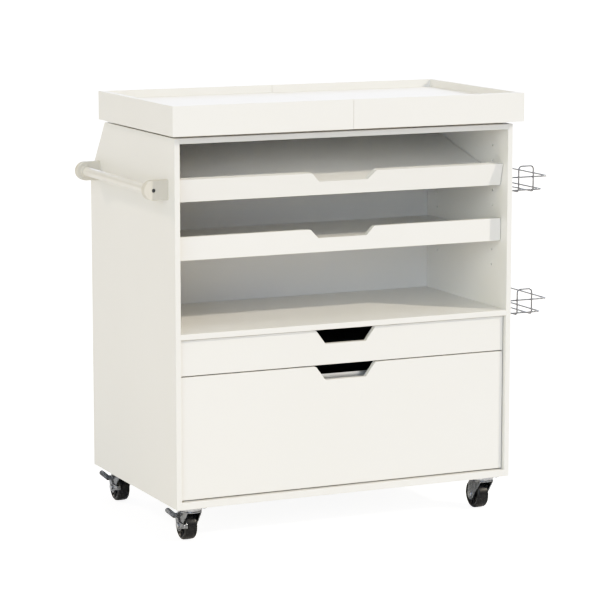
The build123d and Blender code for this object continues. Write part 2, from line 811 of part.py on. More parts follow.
with BuildPart() as caster_plates:
    with BuildSketch(Plane.XY.offset(plate_underside)):
        with Locations(*swivel_points):
            RectangleRounded(plate_size, plate_size, plate_corner)
            with GridLocations(plate_hole_pitch, plate_hole_pitch, 2, 2):
                Circle(screw_radius, mode=Mode.SUBTRACT)
    extrude(amount=plate_thickness)
    with BuildSketch(Plane.XY.offset(race_z)):
        with Locations(*swivel_points):
            Circle(race_radius)
    extrude(amount=plate_underside - race_z)
    fillet(caster_plates.faces().group_by(Axis.Z)[0].edges(), radius=race_round)
    # Kingpin with a riveted head below the fork.
    kingpin_length = race_z - kingpin_end_z
    for radius, height in ((kingpin_radius, kingpin_length), (kingpin_head_radius, kingpin_head_height)):
        with BuildSketch(Plane.XY.offset(kingpin_end_z)):
            with Locations(*swivel_points):
                Circle(radius)
        extrude(amount=height)
finish(caster_plates, "caster_plates")

with BuildPart() as plate_screws:
    with BuildSketch(Plane.XY.offset(plate_underside)):
        with Locations(*swivel_points):
            with GridLocations(plate_hole_pitch, plate_hole_pitch, 2, 2):
                Circle(screw_head_radius)
    extrude(amount=-plate_head_height)
    fillet(plate_screws.faces().group_by(Axis.Z)[0].edges(), radius=1)
    with BuildSketch(Plane.XY.offset(plate_underside)):
        with Locations(*swivel_points):
            with GridLocations(plate_hole_pitch, plate_hole_pitch, 2, 2):
                Circle(screw_radius)
    extrude(amount=plate_thickness + plate_screw_bite)
    with BuildSketch(Plane.XY.offset(plate_underside - plate_head_height)):
        with Locations(*swivel_points):
            with GridLocations(plate_hole_pitch, plate_hole_pitch, 2, 2):
                Rectangle(cross_length, cross_width)
                Rectangle(cross_width, cross_length)
    extrude(amount=plate_head_height / 2, mode=Mode.SUBTRACT)
finish(plate_screws, "caster_plate_screws")

for corner, (swivel_x, swivel_y, braked) in casters.items():
    axle_y = swivel_y + caster_trail

    with BuildPart() as fork:
        # Crown: a disc with the tops of both legs, bent down from the same sheet.
        with BuildSketch(Plane.XY.offset(fork_top_z - fork_crown)):
            with Locations((swivel_x, swivel_y)):
                Circle(fork_crown_radius)
            with Locations((swivel_x, swivel_y + fork_front)):
                Rectangle(2 * leg_outer, fork_rear - fork_front, align=(Align.CENTER, Align.MIN))
        extrude(amount=fork_crown)
        for leg_x in (swivel_x - leg_outer, swivel_x + leg_inner):
            with BuildSketch(Plane.YZ.offset(leg_x)):
                with Locations((swivel_y + fork_front, fork_top_z)):
                    Rectangle(fork_rear - fork_front, fork_crown, align=(Align.MIN, Align.MAX))
                with Locations((axle_y, axle_z)):
                    Circle(leg_foot_radius)
                make_hull()
            extrude(amount=leg_thickness)
        with BuildSketch(Plane.XY.offset(fork_top_z)):
            with Locations((swivel_x, swivel_y)):
                Circle(kingpin_radius + running_clearance)
        extrude(amount=-fork_crown, mode=Mode.SUBTRACT)
        with BuildSketch(Plane.YZ.offset(swivel_x - leg_outer)):
            with Locations((axle_y, axle_z)):
                Circle(axle_radius)
        extrude(amount=2 * leg_outer, mode=Mode.SUBTRACT)
    finish(fork, f"caster_fork_{corner}")

    with BuildPart() as wheel:
        # Half section of the wheel, turned about the axle: crowned tread, dished faces, hub.
        half_width = wheel_width / 2
        bore = axle_radius + running_clearance
        dish = half_width - 3
        with BuildSketch(Plane(origin=(swivel_x, axle_y, axle_z), x_dir=(1, 0, 0), z_dir=(0, -1, 0))):
            with BuildLine():
                for side in (-1, 1):
                    Polyline(
                        (side * half_width, bore),
                        (side * half_width, 10),
                        (side * dish, 12),
                        (side * dish, 22),
                        (side * half_width, 24.5),
                        (side * half_width, 27),
                    )
                    ThreePointArc((side * half_width, 27), (side * 12.4, 30.4), (side * 9, wheel_radius))
                Line((-9, wheel_radius), (9, wheel_radius))
                Line((-half_width, bore), (half_width, bore))
            make_face()
        revolve(axis=Axis((swivel_x, axle_y, axle_z), (1, 0, 0)))
    finish(wheel, f"caster_wheel_{corner}")

    axle_reach = lever_x + lever_thickness + lever_gap if braked else leg_outer
    with BuildPart() as axle:
        with BuildSketch(Plane.YZ.offset(swivel_x - axle_reach)):
            with Locations((axle_y, axle_z)):
                Circle(axle_radius)
        extrude(amount=axle_reach + leg_outer)
        for head_x, way in ((swivel_x - axle_reach, -1), (swivel_x + leg_outer, 1)):
            with BuildSketch(Plane.YZ.offset(head_x)):
                with Locations((axle_y, axle_z)):
                    Circle(axle_head_radius)
            extrude(amount=axle_head_height * way)
        fillet(axle.faces().sort_by(Axis.X)[0].edges(), radius=1)
        fillet(axle.faces().sort_by(Axis.X)[-1].edges(), radius=1)
    finish(axle, f"caster_axle_{corner}")

    if braked:
        plate_x = swivel_x - lever_x - lever_thickness
        arm_y = axle_y + pedal_lean
        root = (plate_x + pedal_root[0], axle_z + pedal_root[1])
        tip = (plate_x + pedal_tip[0], axle_z + pedal_tip[1])
        middle = ((root[0] + tip[0]) / 2, (root[1] + tip[1]) / 2)
        lean = math.degrees(math.atan2(tip[1] - root[1], tip[0] - root[0]))
        with BuildPart() as lever:
            # Pressed plate on the axle, with an arm up to the pedal and one forward to the shoe.
            with BuildSketch(Plane.YZ.offset(plate_x)):
                with Locations((axle_y, axle_z)):
                    Circle(lever_boss_radius)
                with Locations((arm_y, axle_z + pedal_root[1])):
                    Circle(pedal_radius)
                make_hull()
            extrude(amount=lever_thickness)
            with BuildSketch(Plane.YZ.offset(plate_x)):
                with Locations((axle_y, axle_z)):
                    Circle(lever_boss_radius - 1)
                    with PolarLocations(wheel_radius, 1, start_angle=sum(shoe_angles) / 2):
                        Circle(4)
                make_hull()
            extrude(amount=lever_thickness)
            # Shoe that wraps around in front of the tread.
            shoe_inner = wheel_radius + shoe_clearance
            with BuildSketch(Plane.YZ.offset(plate_x)):
                with BuildLine():
                    for radius in (shoe_inner, shoe_inner + lever_thickness):
                        CenterArc((axle_y, axle_z), radius, shoe_angles[0], shoe_angles[1] - shoe_angles[0])
                    for angle in shoe_angles:
                        across, up = math.cos(math.radians(angle)), math.sin(math.radians(angle))
                        start = (axle_y + shoe_inner * across, axle_z + shoe_inner * up)
                        PolarLine(start, lever_thickness, angle)
                make_face()
            extrude(amount=shoe_width)
            # Pedal: a leaf bent out of the arm, with grip ribs across its front.
            pedal_face = arm_y - lever_thickness / 2
            with BuildSketch(Plane.XZ.offset(-pedal_face)):
                with Locations(root, tip):
                    Circle(pedal_radius)
                make_hull()
            extrude(amount=-lever_thickness)
            with BuildSketch(Plane.XZ.offset(-pedal_face)):
                with Locations(Location((*middle, 0), (0, 0, lean))):
                    with GridLocations(pedal_rib_pitch, 0, 5, 1):
                        Rectangle(pedal_rib_pitch / 3, 1.6 * pedal_radius)
            extrude(amount=pedal_rib_height)
            with BuildSketch(Plane.YZ.offset(plate_x)):
                with Locations((axle_y, axle_z)):
                    Circle(axle_radius + running_clearance)
            extrude(amount=lever_thickness, mode=Mode.SUBTRACT)
        finish(lever, f"brake_lever_{corner}")
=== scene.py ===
import json
import math

import bmesh
import bpy
from mathutils import Matrix, Vector

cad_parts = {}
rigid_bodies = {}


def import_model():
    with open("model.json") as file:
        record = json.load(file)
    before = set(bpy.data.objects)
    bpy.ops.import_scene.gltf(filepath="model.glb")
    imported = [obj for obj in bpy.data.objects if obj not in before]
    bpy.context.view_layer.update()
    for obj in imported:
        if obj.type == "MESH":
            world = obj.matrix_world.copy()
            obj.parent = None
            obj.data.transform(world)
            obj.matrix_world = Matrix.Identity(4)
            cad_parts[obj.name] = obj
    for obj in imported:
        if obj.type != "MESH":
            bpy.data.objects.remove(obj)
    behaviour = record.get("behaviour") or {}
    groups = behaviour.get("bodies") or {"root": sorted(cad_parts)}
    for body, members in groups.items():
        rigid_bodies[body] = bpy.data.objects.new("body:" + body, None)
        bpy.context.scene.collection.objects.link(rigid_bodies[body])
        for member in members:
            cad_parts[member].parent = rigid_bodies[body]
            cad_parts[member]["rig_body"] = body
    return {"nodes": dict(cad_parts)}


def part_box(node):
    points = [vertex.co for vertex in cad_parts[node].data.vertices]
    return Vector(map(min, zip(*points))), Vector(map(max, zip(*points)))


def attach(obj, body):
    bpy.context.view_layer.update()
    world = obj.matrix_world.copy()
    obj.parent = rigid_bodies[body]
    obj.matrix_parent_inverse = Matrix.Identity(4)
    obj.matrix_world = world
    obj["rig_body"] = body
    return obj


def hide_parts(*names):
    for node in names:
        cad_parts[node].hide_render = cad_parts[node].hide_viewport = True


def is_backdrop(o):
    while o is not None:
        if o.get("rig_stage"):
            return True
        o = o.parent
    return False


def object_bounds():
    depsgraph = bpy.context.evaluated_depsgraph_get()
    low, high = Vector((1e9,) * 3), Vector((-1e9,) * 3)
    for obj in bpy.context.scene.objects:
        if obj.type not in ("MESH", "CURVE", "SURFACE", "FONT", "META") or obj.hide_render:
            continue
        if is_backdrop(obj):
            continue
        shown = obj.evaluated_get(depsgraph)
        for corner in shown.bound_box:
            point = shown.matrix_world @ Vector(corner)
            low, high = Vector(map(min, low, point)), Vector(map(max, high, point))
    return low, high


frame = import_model()
nodes = frame["nodes"]
cad_low, cad_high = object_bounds()

# ---- Cabinet boards ------------------------------------------------------------------------------
# Particle board faced with a warm white laminate and edged with the same foil: two sides, a bottom,
# a fixed shelf, a sub-top and a back, drawn together with cam fittings. Each long edge is eased.


def new_finish(name, metallic=0.0, coat=0.0, specular=0.5):
    """A new finish: its material, node tree and shader."""
    finish = bpy.data.materials.new(name)
    finish.use_nodes = True
    shader = finish.node_tree.nodes["Principled BSDF"]
    shader.inputs["Metallic"].default_value = metallic
    shader.inputs["Coat Weight"].default_value = coat
    shader.inputs["Specular IOR Level"].default_value = specular
    return finish, finish.node_tree, shader


def cloud(tree, scale, detail=3.0, stretch=(1, 1, 1)):
    """Noise over object coordinates, drawn out along the axis whose stretch is small."""
    where = tree.nodes.new("ShaderNodeTexCoord")
    mapping = tree.nodes.new("ShaderNodeMapping")
    mapping.inputs["Scale"].default_value = stretch
    noise = tree.nodes.new("ShaderNodeTexNoise")
    noise.inputs["Scale"].default_value = scale
    noise.inputs["Detail"].default_value = detail
    tree.links.new(where.outputs["Object"], mapping.inputs["Vector"])
    tree.links.new(mapping.outputs["Vector"], noise.inputs["Vector"])
    return noise.outputs["Fac"]


def cells(tree, scale):
    """Small crystal cells over object coordinates."""
    where = tree.nodes.new("ShaderNodeTexCoord")
    crystal = tree.nodes.new("ShaderNodeTexVoronoi")
    crystal.inputs["Scale"].default_value = scale
    grey = tree.nodes.new("ShaderNodeRGBToBW")
    tree.links.new(where.outputs["Object"], crystal.inputs["Vector"])
    tree.links.new(crystal.outputs["Color"], grey.inputs["Color"])
    return grey.outputs["Val"]


def tone(tree, shader, source, low, high, start=0.3, end=0.7):
    """Runs the base colour between two tones."""
    ramp = tree.nodes.new("ShaderNodeValToRGB")
    for stop, place, colour in zip(ramp.color_ramp.elements, (start, end), (low, high)):
        stop.position = place
        stop.color = (*colour, 1)
    tree.links.new(source, ramp.inputs["Fac"])
    tree.links.new(ramp.outputs["Color"], shader.inputs["Base Color"])


def sheen(tree, shader, source, low, high):
    """Runs the roughness between two values."""
    spread = tree.nodes.new("ShaderNodeMapRange")
    spread.inputs["To Min"].default_value = low
    spread.inputs["To Max"].default_value = high
    tree.links.new(source, spread.inputs["Value"])
    tree.links.new(spread.outputs["Result"], shader.inputs["Roughness"])


def relief(tree, shader, source, strength, depth):
    """Raises the surface by depth metres where the source is bright."""
    bump = tree.nodes.new("ShaderNodeBump")
    bump.inputs["Strength"].default_value = strength
    bump.inputs["Distance"].default_value = depth
    tree.links.new(source, bump.inputs["Height"])
    tree.links.new(bump.outputs["Normal"], shader.inputs["Normal"])


def paint(names, finish):
    """Gives CAD nodes a finish."""
    for name in names:
        nodes[name].data.materials.clear()
        nodes[name].data.materials.append(finish)


def add_piece(name, mesh, finish, body, replaced=(), smooth_angle=40):
    """Makes a built mesh a piece that rides on a body; a smooth angle of 0 leaves it flat shaded."""
    data = bpy.data.meshes.new(name)
    mesh.to_mesh(data)
    mesh.free()
    data.materials.clear()
    data.materials.append(finish)
    for face in data.polygons:
        face.use_smooth = smooth_angle > 0
        face.material_index = 0
    if smooth_angle > 0:
        data.set_sharp_from_angle(angle=math.radians(smooth_angle))
    piece = bpy.data.objects.new(name, data)
    bpy.context.scene.collection.objects.link(piece)
    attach(piece, body)
    if replaced:
        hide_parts(*replaced)


merge_distance = 0.000002
flat_angle, sharp_angle = math.radians(0.5), math.radians(35)


def eased_copy(name, width, shortest=0.0):
    """A merged copy of a CAD node, with its sharp edges longer than shortest rounded over."""
    mesh = bmesh.new()
    mesh.from_mesh(nodes[name].data)
    bmesh.ops.remove_doubles(mesh, verts=mesh.verts, dist=merge_distance)
    bmesh.ops.dissolve_limit(mesh, angle_limit=flat_angle, verts=mesh.verts, edges=mesh.edges)
    sharp = [
        edge for edge in mesh.edges
        if edge.is_manifold and edge.calc_face_angle(0) > sharp_angle and edge.calc_length() > shortest
    ]
    bmesh.ops.bevel(
        mesh, geom=sharp, offset=width, segments=2, profile=0.5, affect="EDGES", clamp_overlap=True
    )
    return mesh


def body_of(name):
    """The body that a CAD node rides on."""
    return nodes[name]["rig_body"]


board_ease = 0.0007
shortest_board_edge = 0.03


def face_boards(names, finish):
    """Replaces CAD boards with eased copies in a finish; the short edges of peg holes stay crisp."""
    for name in names:
        mesh = eased_copy(name, board_ease, shortest_board_edge)
        add_piece(f"{name}_faced", mesh, finish, body_of(name), (name,), 0)


laminate, tree, shader = new_finish("white_laminate", specular=0.42)
tone(tree, shader, cloud(tree, 3.0), (0.765, 0.753, 0.715), (0.781, 0.770, 0.733))
sheen(tree, shader, cloud(tree, 14.0), 0.34, 0.46)
relief(tree, shader, cloud(tree, 900.0, 2.0), 0.12, 0.0003)

face_boards(
    ["left_side_panel", "right_side_panel", "bottom_panel", "fixed_shelf", "sub_top_panel", "back_panel",
     "rear_shelf", "rear_rails"],
    laminate,
)

# ---- Loose shelves and their pegs ----------------------------------------------------------------
# Two alike laminate boards with a raised front lip, one level and one tilted. Each rests on four
# zinc-plated steel pegs with a flat seat, pushed into the holes of the side panels.
face_boards(["lower_shelf_board", "lower_shelf_lip", "upper_shelf_board", "upper_shelf_lip"], laminate)

zinc, tree, shader = new_finish("zinc_plated_steel", metallic=1.0)
tone(tree, shader, cells(tree, 420.0), (0.38, 0.39, 0.41), (0.56, 0.57, 0.59), 0.2, 0.8)
sheen(tree, shader, cloud(tree, 220.0, 4.0), 0.16, 0.36)
relief(tree, shader, cloud(tree, 1500.0), 0.08, 0.0002)
paint(["shelf_pegs", "cam_fittings"], zinc)

# ---- Drawers -------------------------------------------------------------------------------------
# White laminate fronts with a finger notch, on boxes of board in a near-black tone with a faint grain;
# the near-black is painted shade, matched to the dark seen inside the drawers through the notches.
# The deep drawer has two aluminium rails let into its sides for hanging files.
face_boards(["top_drawer_front", "file_drawer_front"], laminate)

# The near-black base colour is painted shade for the drawers' insides; the faint grain over it is the
# board's own.
box_dark_as_shade, tree, shader = new_finish("box_foil_painted_shade", specular=0.35)
grain = cloud(tree, 24.0, 6.0, (1, 14, 14))
tone(tree, shader, grain, (0.018, 0.019, 0.022), (0.034, 0.036, 0.040))
sheen(tree, shader, grain, 0.42, 0.62)
relief(tree, shader, grain, 0.15, 0.0003)
box_boards = ("sides", "back", "bottom")
paint([f"{drawer}_{board}" for drawer in ("top_drawer", "file_drawer") for board in box_boards], box_dark_as_shade)

aluminium, tree, shader = new_finish("brushed_aluminium", metallic=1.0)
brushing = cloud(tree, 40.0, 5.0, (0.4, 22, 22))
tone(tree, shader, brushing, (0.66, 0.67, 0.68), (0.80, 0.81, 0.82))
sheen(tree, shader, brushing, 0.26, 0.42)
relief(tree, shader, brushing, 0.1, 0.0002)
paint(["file_drawer_hanger_rails", "top_tracks"], aluminium)

# ---- Drawer slides -------------------------------------------------------------------------------
# Rolled zinc-plated channels screwed to the cabinet sides, and narrower ones on the drawer boxes.
paint(["drawer_runner_channels", "top_drawer_runners", "file_drawer_runners"], zinc)

# ---- Sliding tray tops ---------------------------------------------------------------------------
# Two shallow trays of the same laminate, glued up from a board and three rims. Nylon runners under
# them slide in aluminium tracks on softwood cleats.
tray_boards = ("board", "front_rim", "rear_rim", "end_rim")
face_boards([f"{half}_top_{board}" for half in ("left", "right") for board in tray_boards], laminate)

softwood, tree, shader = new_finish("planed_softwood")
rings = cloud(tree, 30.0, 6.0, (0.25, 6, 6))
tone(tree, shader, rings, (0.42, 0.27, 0.13), (0.62, 0.45, 0.26))
sheen(tree, shader, rings, 0.5, 0.7)
relief(tree, shader, rings, 0.2, 0.0004)
paint(["top_cleats"], softwood)

nylon, tree, shader = new_finish("white_nylon")
tone(tree, shader, cloud(tree, 80.0), (0.62, 0.61, 0.57), (0.68, 0.67, 0.63))
sheen(tree, shader, cloud(tree, 200.0), 0.4, 0.55)
relief(tree, shader, cloud(tree, 1200.0), 0.1, 0.0002)
paint(["left_top_runners", "right_top_runners"], nylon)

# ---- Push handle ---------------------------------------------------------------------------------
# An enamelled round bar held between two moulded brackets by a dark socket screw in each end. A ring
# moulded on each bracket closes the joint round the bar.
enamel, tree, shader = new_finish("white_enamel", coat=0.3)
shader.inputs["Coat Roughness"].default_value = 0.15
tone(tree, shader, cloud(tree, 20.0), (0.69, 0.665, 0.60), (0.71, 0.685, 0.62))
sheen(tree, shader, cloud(tree, 120.0), 0.25, 0.36)
relief(tree, shader, cloud(tree, 500.0), 0.06, 0.0003)
paint(["handle_bar"], enamel)

# The brackets' white is darkened and warmed to about three quarters of the laminate's: painted shade,
# where the brackets stand in the cabinet's shade.
moulding_shade_darkened, tree, shader = new_finish("white_moulding_painted_shade")
tone(tree, shader, cloud(tree, 30.0), (0.565, 0.535, 0.465), (0.59, 0.56, 0.485))
sheen(tree, shader, cloud(tree, 200.0), 0.38, 0.5)
relief(tree, shader, cloud(tree, 1400.0), 0.12, 0.0002)
paint(["handle_brackets"], moulding_shade_darkened)

black_oxide, tree, shader = new_finish("black_oxide_steel", metallic=0.8)
tone(tree, shader, cloud(tree, 300.0), (0.05, 0.05, 0.052), (0.11, 0.11, 0.112))
sheen(tree, shader, cloud(tree, 500.0), 0.35, 0.5)
relief(tree, shader, cloud(tree, 1500.0), 0.1, 0.0001)
paint(["handle_screws"], black_oxide)


def turned(profile, axis_point, axis, steps):
    """A closed outline of (along, radius) pairs turned about an axis through a point."""
    mesh = bmesh.new()
    along_x = axis == "X"
    ring = []
    for along, radius in profile:
        place = Vector((along, 0, radius)) if along_x else Vector((0, along, radius))
        ring.append(mesh.verts.new(Vector(axis_point) + place))
    edges = [mesh.edges.new((ring[i], ring[(i + 1) % len(ring)])) for i in range(len(ring))]
    bmesh.ops.spin(
        mesh, geom=ring + edges, cent=axis_point, axis=(1, 0, 0) if along_x else (0, 1, 0),
        angle=math.tau, steps=steps, use_merge=True,
    )
    bmesh.ops.remove_doubles(mesh, verts=mesh.verts, dist=merge_distance)
    bmesh.ops.recalc_face_normals(mesh, faces=mesh.faces)
    return mesh


bar_low, bar_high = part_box("handle_bar")
bracket_low, bracket_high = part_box("handle_brackets")
bar_radius = (bar_high.z - bar_low.z) / 2
bar_middle = (bar_low + bar_high) / 2
bracket_depth = 0.018
collar_bore = bar_radius + 0.0001
collar_outline = [
    (0.0, collar_bore), (0.0, collar_bore + 0.0035), (0.0012, collar_bore + 0.0033),
    (0.0024, collar_bore + 0.0025), (0.0032, collar_bore + 0.0013), (0.0034, collar_bore),
]
collars = bmesh.new()
for seat_y, way in ((bracket_low.y + bracket_depth, 1), (bracket_high.y - bracket_depth, -1)):
    seat = (bar_middle.x, seat_y, bar_middle.z)
    collar = turned([(way * along, radius) for along, radius in collar_outline], seat, "Y", 48)
    part = bpy.data.meshes.new("collar")
    collar.to_mesh(part)
    collar.free()
    collars.from_mesh(part)
    bpy.data.meshes.remove(part)
# The collars share the brackets' darkened white, which is painted shade.
add_piece("handle_collars", collars, moulding_shade_darkened, "cabinet")

# ---- Wire baskets --------------------------------------------------------------------------------
# Chromed steel wire: a rim and a floor ring, two long wires that rise as a guard at each end, and two
# uprights at the wall, bent to shape and spot-welded where they cross. Pan screws hold the rim.
# The chrome's base is set far darker than polished steel: the wires' dark look is painted dark
# reflection, with a random tone over it.
chrome_painted_dark, tree, shader = new_finish("chromed_wire_painted_dark_reflection", metallic=1.0)
tone(tree, shader, cloud(tree, 90.0), (0.17, 0.175, 0.19), (0.28, 0.285, 0.30))
sheen(tree, shader, cloud(tree, 300.0), 0.06, 0.16)
relief(tree, shader, cloud(tree, 700.0), 0.05, 0.0002)
paint(["basket_screws"], zinc)


def add_input(tree, name, kind, value=None, low=None):
    """Adds a named input to a geometry tree and returns its identifier."""
    made = tree.interface.new_socket(name, in_out="INPUT", socket_type=kind)
    if value is not None:
        made.default_value = value
    if low is not None:
        made.min_value = low
    return made.identifier


def link_all(tree, links):
    """Makes a tree's links, each given as a node and output name, then a node and input name."""
    for start, start_name, end, end_name in links:
        tree.links.new(start.outputs[start_name], end.inputs[end_name])


def of_kind(sockets, name, kind):
    """The socket of one kind, on a node that has several with the same name."""
    return next(socket for socket in sockets if socket.name == name and socket.type == kind)


wire_radius, bend_radius, weld_radius = 0.002, 0.008, 0.0024
wire_tree = bpy.data.node_groups.new("bent_wire", "GeometryNodeTree")
wire_tree.is_modifier = True
add_input(wire_tree, "Geometry", "NodeSocketGeometry")
wire_inputs = {
    "Wire radius": add_input(wire_tree, "Wire radius", "NodeSocketFloat", wire_radius, 0.0),
    "Bend radius": add_input(wire_tree, "Bend radius", "NodeSocketFloat", bend_radius, 0.0),
    "Weld radius": add_input(wire_tree, "Weld radius", "NodeSocketFloat", weld_radius, 0.0),
    "Finish": add_input(wire_tree, "Finish", "NodeSocketMaterial"),
}
wire_tree.interface.new_socket("Geometry", in_out="OUTPUT", socket_type="NodeSocketGeometry")
given = wire_tree.nodes.new("NodeGroupInput")
result = wire_tree.nodes.new("NodeGroupOutput")
line = wire_tree.nodes.new("GeometryNodeMeshToCurve")
bends = wire_tree.nodes.new("GeometryNodeFilletCurve")
section = wire_tree.nodes.new("GeometryNodeCurvePrimitiveCircle")
wire = wire_tree.nodes.new("GeometryNodeCurveToMesh")
neighbours = wire_tree.nodes.new("GeometryNodeInputMeshVertexNeighbors")
alone = wire_tree.nodes.new("FunctionNodeCompare")
spots = wire_tree.nodes.new("GeometryNodeMeshToPoints")
bead = wire_tree.nodes.new("GeometryNodeMeshIcoSphere")
beads = wire_tree.nodes.new("GeometryNodeInstanceOnPoints")
join = wire_tree.nodes.new("GeometryNodeJoinGeometry")
realize = wire_tree.nodes.new("GeometryNodeRealizeInstances")
coated = wire_tree.nodes.new("GeometryNodeSetMaterial")
bends.mode = "POLY"
bends.inputs["Count"].default_value = 7
section.inputs["Resolution"].default_value = 14
alone.data_type = "INT"
alone.operation = "EQUAL"
bead.inputs["Subdivisions"].default_value = 2
wire.inputs["Fill Caps"].default_value = True
link_all(wire_tree, (
    (given, "Geometry", line, "Mesh"),
    (line, "Curve", bends, "Curve"),
    (given, "Bend radius", bends, "Radius"),
    (bends, "Curve", wire, "Curve"),
    (given, "Wire radius", section, "Radius"),
    (section, "Curve", wire, "Profile Curve"),
    (given, "Geometry", spots, "Mesh"),
    (spots, "Points", beads, "Points"),
    (given, "Weld radius", bead, "Radius"),
    (bead, "Mesh", beads, "Instance"),
    (wire, "Mesh", join, "Geometry"),
    (beads, "Instances", join, "Geometry"),
    (join, "Geometry", realize, "Geometry"),
    (realize, "Geometry", coated, "Geometry"),
    (given, "Finish", coated, "Material"),
    (coated, "Geometry", result, "Geometry"),
    (alone, "Result", spots, "Selection"),
))
wire_tree.links.new(neighbours.outputs["Vertex Count"], of_kind(alone.inputs, "A", "INT"))
of_kind(alone.inputs, "B", "INT").default_value = 0


def grown(source, tree, inputs, values):
    """The plain mesh that a geometry tree makes from a source mesh."""
    holder = bpy.data.objects.new("holder", source)
    bpy.context.scene.collection.objects.link(holder)
    modifier = holder.modifiers.new("grow", "NODES")
    modifier.node_group = tree
    for name, value in values.items():
        modifier[inputs[name]] = value
    bpy.context.view_layer.update()
    shaped = bpy.data.meshes.new_from_object(holder.evaluated_get(bpy.context.evaluated_depsgraph_get()))
    holder.modifiers.remove(modifier)
    bpy.data.objects.remove(holder)
    made = bmesh.new()
    made.from_mesh(shaped)
    bpy.data.meshes.remove(shaped)
    return made


floor_reach = 0.104
guard_rise, ring_drop = 0.025, 0.029
guard_near, guard_far = 0.041, 0.078
weld_sink, upright_inset = 0.0004, 0.050
for basket in ("upper_wire_basket", "lower_wire_basket"):
    low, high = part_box(basket)
    rim_z = high.z - wire_radius - guard_rise
    floor_z = rim_z - ring_drop
    under_z = floor_z - 2 * wire_radius + weld_sink
    wall_x, rim_x, floor_x = low.x + wire_radius, high.x - wire_radius, low.x + floor_reach - wire_radius
    near_x, far_x = low.x + guard_near, low.x + guard_far
    guard_start, guard_end, guard_z = low.y + wire_radius, high.y - wire_radius, rim_z + guard_rise
    ring_start = low.y + 3 * wire_radius - weld_sink
    ring_end = high.y - 3 * wire_radius + weld_sink
    loops = [
        [(wall_x, ring_start, z), (x, ring_start, z), (x, ring_end, z), (wall_x, ring_end, z)]
        for x, z in ((rim_x, rim_z), (floor_x, floor_z))
    ]
    loops.append([
        (near_x, guard_start, guard_z), (far_x, guard_start, guard_z), (far_x, guard_start, under_z),
        (far_x, guard_end, under_z), (far_x, guard_end, guard_z), (near_x, guard_end, guard_z),
        (near_x, guard_end, under_z), (near_x, guard_start, under_z),
    ])
    bent = bmesh.new()
    for corners in loops:
        turns = [bent.verts.new(corner) for corner in corners]
        for i, turn in enumerate(turns):
            bent.edges.new((turn, turns[(i + 1) % len(turns)]))
    upright_x = wall_x + 2 * wire_radius - weld_sink
    for upright_y in (low.y + upright_inset, high.y - upright_inset):
        foot = bent.verts.new((upright_x, upright_y, floor_z - wire_radius))
        head = bent.verts.new((upright_x, upright_y, rim_z + wire_radius))
        bent.edges.new((foot, head))
        for z in (rim_z, floor_z):
            bent.verts.new((wall_x + wire_radius, upright_y, z))
    for x in (near_x, far_x):
        for y in (guard_start + wire_radius, guard_end - wire_radius):
            for z in (rim_z, floor_z):
                bent.verts.new((x, y, z))
    outline = bpy.data.meshes.new("wire_line")
    bent.to_mesh(outline)
    bent.free()
    made = grown(outline, wire_tree, wire_inputs, {
        "Wire radius": wire_radius, "Bend radius": bend_radius, "Weld radius": weld_radius,
        "Finish": chrome_painted_dark,
    })
    add_piece(f"{basket}_chromed", made, chrome_painted_dark, "cabinet", (basket,), 60)

# ---- Casters -------------------------------------------------------------------------------------
# A pressed plate with a ball race, a fork folded from one sheet, a riveted axle and a black moulded
# wheel with ribbed faces; the left pair has a pressed brake lever with a ribbed pedal.
paint(["caster_plates", "caster_plate_screws"] + [n for n in nodes if n.startswith("caster_axle")], zinc)

# The forks and brake levers get a zinc far darker than the plates and axles: painted shade and painted
# dark reflection, with random crystal cells over it.
pressed_painted_dark, tree, shader = new_finish("pressed_zinc_painted_shade_and_reflection", metallic=1.0)
tone(tree, shader, cells(tree, 300.0), (0.15, 0.157, 0.17), (0.30, 0.31, 0.33), 0.2, 0.8)
sheen(tree, shader, cloud(tree, 160.0, 4.0), 0.14, 0.30)
relief(tree, shader, cloud(tree, 1200.0), 0.08, 0.0002)

black_tread, tree, shader = new_finish("black_wheel", specular=0.22)
tone(tree, shader, cloud(tree, 60.0), (0.0025, 0.0025, 0.003), (0.005, 0.005, 0.0055))
sheen(tree, shader, cloud(tree, 150.0), 0.22, 0.34)
relief(tree, shader, cloud(tree, 900.0), 0.08, 0.0002)

rib_count, rib_ring_radius, rib_size = 10, 0.0168, (0.0132, 0.0018, 0.0030)
rib_tree = bpy.data.node_groups.new("wheel_ribs", "GeometryNodeTree")
rib_tree.is_modifier = True
add_input(rib_tree, "Geometry", "NodeSocketGeometry")
rib_inputs = {
    "Count": add_input(rib_tree, "Count", "NodeSocketInt", rib_count, 3),
    "Ring radius": add_input(rib_tree, "Ring radius", "NodeSocketFloat", rib_ring_radius, 0.0),
    "Rib size": add_input(rib_tree, "Rib size", "NodeSocketVector", rib_size),
    "Finish": add_input(rib_tree, "Finish", "NodeSocketMaterial"),
}
rib_tree.interface.new_socket("Geometry", in_out="OUTPUT", socket_type="NodeSocketGeometry")
given = rib_tree.nodes.new("NodeGroupInput")
result = rib_tree.nodes.new("NodeGroupOutput")
circle = rib_tree.nodes.new("GeometryNodeMeshCircle")
place = rib_tree.nodes.new("GeometryNodeInputPosition")
turn = rib_tree.nodes.new("FunctionNodeAlignEulerToVector")
turn.axis = "X"
rib = rib_tree.nodes.new("GeometryNodeMeshCube")
rib.inputs["Vertices X"].default_value = 2
rib.inputs["Vertices Y"].default_value = 2
rib.inputs["Vertices Z"].default_value = 2
ribs = rib_tree.nodes.new("GeometryNodeInstanceOnPoints")
realize = rib_tree.nodes.new("GeometryNodeRealizeInstances")
coated = rib_tree.nodes.new("GeometryNodeSetMaterial")
link_all(rib_tree, (
    (given, "Count", circle, "Vertices"),
    (given, "Ring radius", circle, "Radius"),
    (given, "Rib size", rib, "Size"),
    (place, "Position", turn, "Vector"),
    (circle, "Mesh", ribs, "Points"),
    (rib, "Mesh", ribs, "Instance"),
    (turn, "Rotation", ribs, "Rotation"),
    (ribs, "Instances", realize, "Geometry"),
    (realize, "Geometry", coated, "Geometry"),
    (given, "Finish", coated, "Material"),
    (coated, "Geometry", result, "Geometry"),
))

